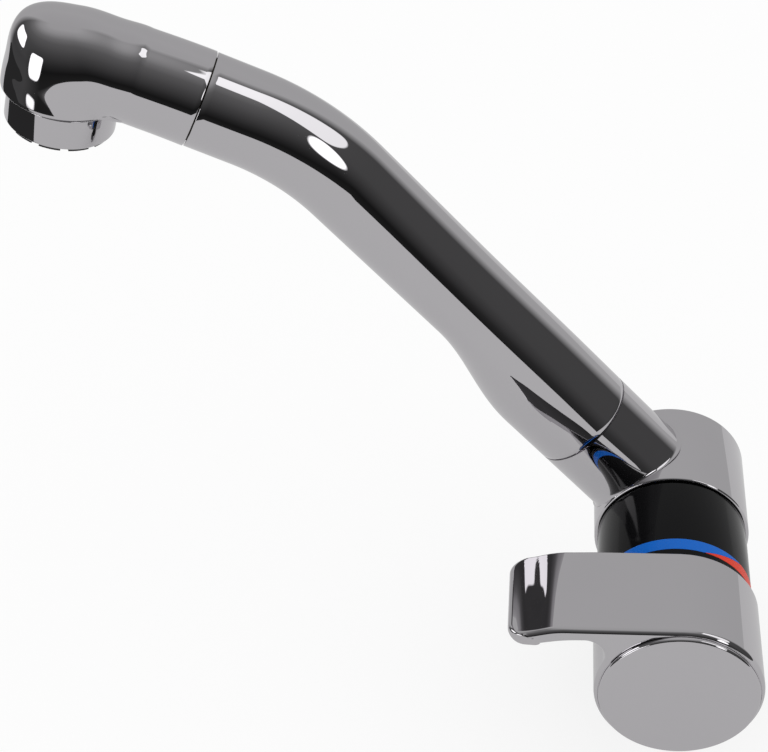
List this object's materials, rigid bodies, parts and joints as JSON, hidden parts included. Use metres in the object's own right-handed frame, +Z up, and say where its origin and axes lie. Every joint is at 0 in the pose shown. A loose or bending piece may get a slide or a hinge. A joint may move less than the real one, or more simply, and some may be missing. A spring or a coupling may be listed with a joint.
{
  "type": "mixer tap",
  "caption": "Single-lever mixer tap with a level barrel body, side lever blade and a fold-down angled spout with a turning nozzle head.",
  "frame": {"origin": "centre of the worktop hole, on the underside of the base gasket where it meets the worktop", "axes": "+Z up along the neck, the barrel along Y with the handle towards -Y, the spout and the lever blade towards -X"},
  "size_m": [0.215, 0.0984, 0.2741],
  "materials": {
    "chrome": "polished",
    "black": "glossy",
    "blue": "glossy",
    "red": "glossy",
    "brass": "machined",
    "copper": "drawn tube",
    "steel": "plain",
    "rubber": "matt",
    "ceramic": "lapped",
    "grey_plastic": "moulded",
    "white_plastic": "moulded",
    "dark_plastic": "moulded"
  },
  "bodies": {
    "base": {"base_flange": "chrome", "base_gasket": "rubber", "threaded_shank": "brass", "swivel_bush": "white_plastic", "rubber_washer": "rubber", "steel_washer": "steel", "shank_nut": "brass"},
    "body": {"body_shell": "black", "cold_band": "blue", "hot_band": "red", "valve_core": "brass", "spigot_o_rings": "rubber", "foot_clip": "steel", "cold_tail": "copper", "hot_tail": "copper", "cartridge_seals": "rubber", "cartridge_base": "grey_plastic", "fixed_disc": "ceramic", "cartridge_housing": "grey_plastic", "cartridge_nut": "brass", "cartridge_cover": "black"},
    "spout": {"spout_knuckle": "chrome", "lock_washer": "white_plastic", "lock_nut": "brass", "end_cap": "chrome", "spout_tube": "chrome", "tube_o_ring": "rubber", "tube_grub_screw": "steel"},
    "head": {"spout_head": "chrome", "head_nipple": "brass", "nozzle_ring": "chrome", "aerator_body": "dark_plastic", "aerator_screen": "steel", "aerator_washer": "rubber"},
    "carrier": {"cartridge_carrier": "white_plastic", "pivot_pin": "steel"},
    "disc": {"moving_disc": "ceramic"},
    "lever": {"lever_spindle": "steel", "handle_shell": "chrome", "handle_grub_screw": "steel", "handle_cap": "chrome"}
  },
  "joints": [
    {"name": "body_swivel", "type": "hinge", "parent": "base", "child": "body", "pos_m": [0, 0, 0], "axis": [0, 0, 1], "range_deg": [-60, 60]},
    {"name": "spout_fold", "type": "hinge", "parent": "body", "child": "spout", "pos_m": [0, 0.0294, 0.042], "axis": [0, 1, 0], "range_deg": [-45, 10]},
    {"name": "head_turn", "type": "hinge", "parent": "spout", "child": "head", "pos_m": [-0.13742, 0.0294, 0.17781], "axis": [-0.9239, 0, 0.3827], "range_deg": [-60, 60]},
    {"name": "lever_turn", "type": "hinge", "parent": "body", "child": "carrier", "pos_m": [0, -0.0147, 0.042], "axis": [0, 1, 0], "range_deg": [-45, 45]},
    {"name": "lever_lift", "type": "hinge", "parent": "carrier", "child": "lever", "pos_m": [0, -0.0147, 0.042], "axis": [0, 0, 1], "range_deg": [0, 22]},
    {"name": "disc_slide", "type": "slide", "parent": "carrier", "child": "disc", "axis": [-1, 0, 0], "range_m": [0, 0.0019]}
  ],
  "couplings": [
    {"joint": "disc_slide", "follows": "lever_lift", "m_per_rad": 0.00486}
  ]
}
